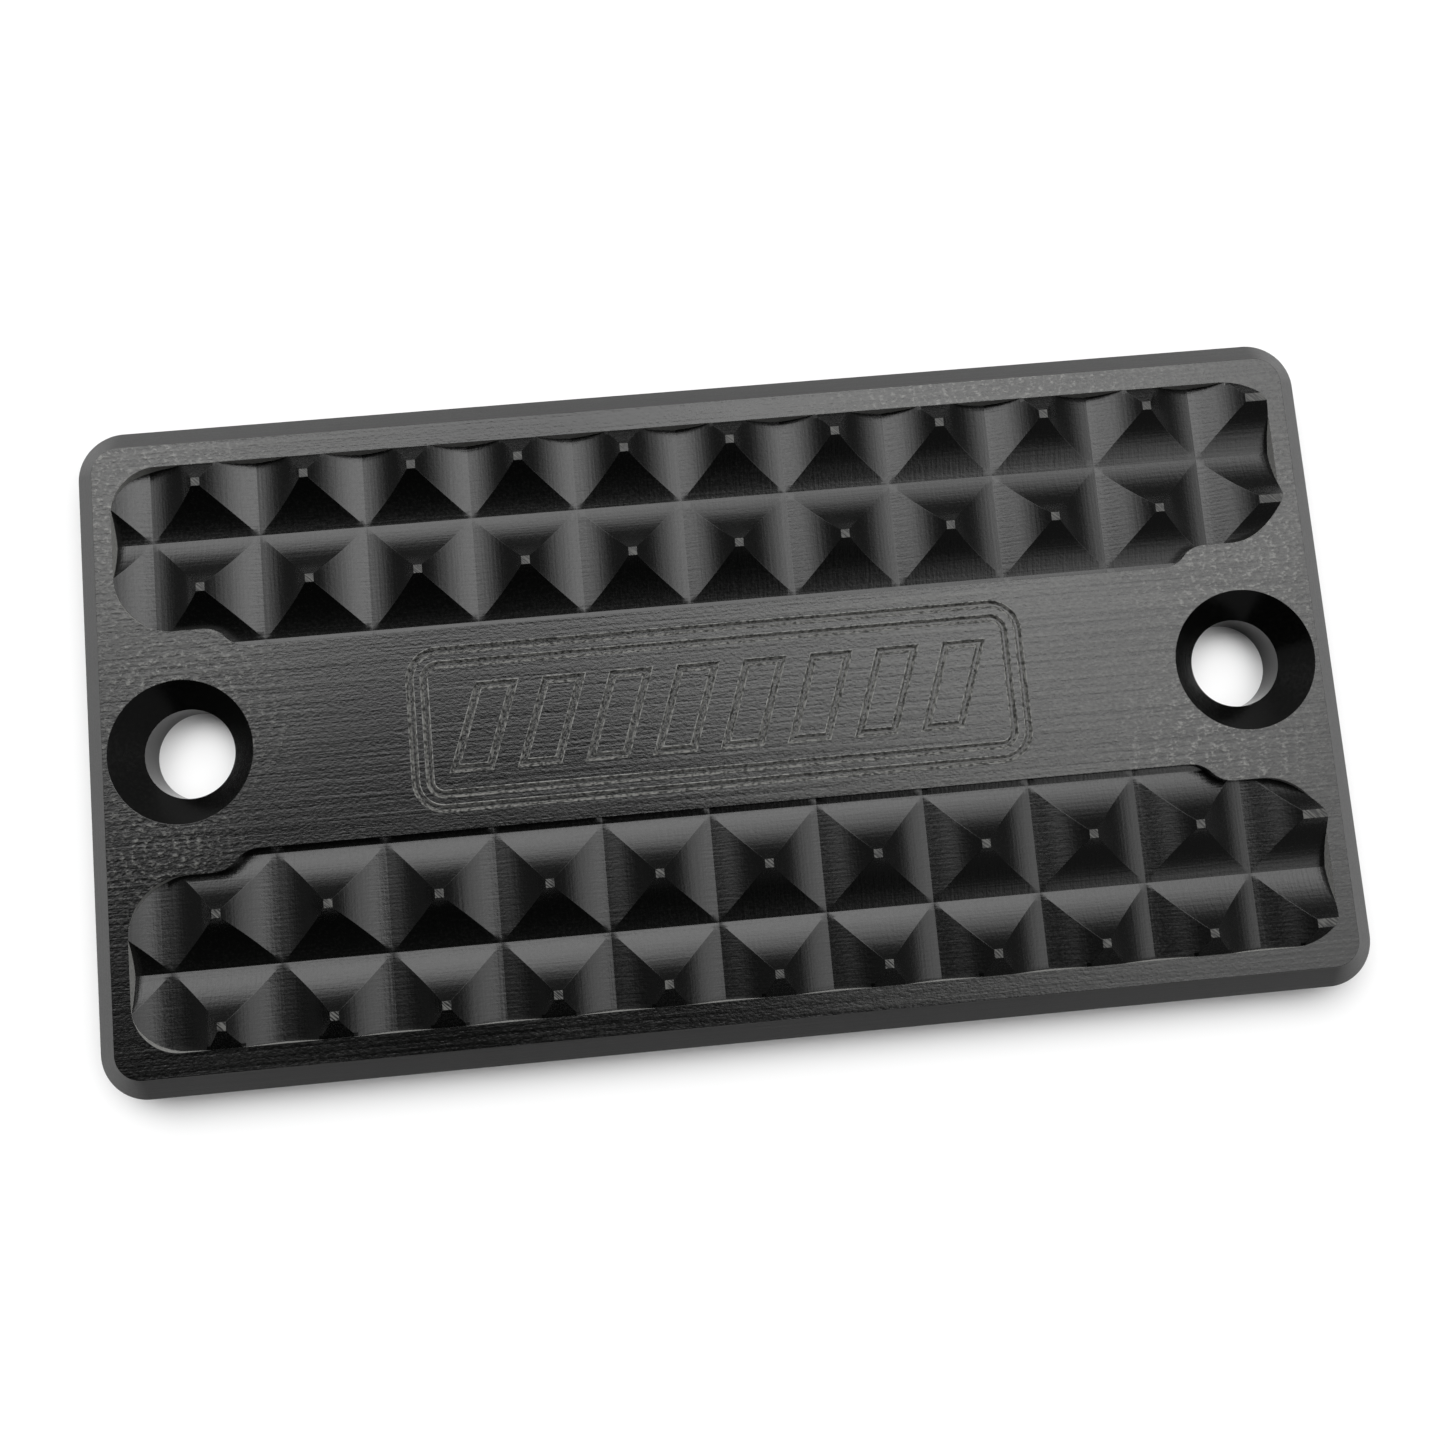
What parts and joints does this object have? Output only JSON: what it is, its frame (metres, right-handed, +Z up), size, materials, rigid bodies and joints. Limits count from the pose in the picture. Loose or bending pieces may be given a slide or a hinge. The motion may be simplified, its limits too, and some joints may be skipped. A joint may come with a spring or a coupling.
{
  "type": "studded traction plate",
  "caption": "Flat rectangular traction plate with chamfered edges, two bands of pyramid studs, an engraved panel between them and a countersunk screw hole at each end.",
  "frame": {"origin": "middle of the flat underside", "axes": "+X along the plate, from one screw hole to the other; +Y across the plate; +Z up, from the underside to the stud tips"},
  "size_m": [0.12, 0.0636, 0.007],
  "materials": {
    "black_plastic": "satin"
  },
  "bodies": {
    "root": {"stud_plate": "black_plastic"}
  },
  "joints": []
}
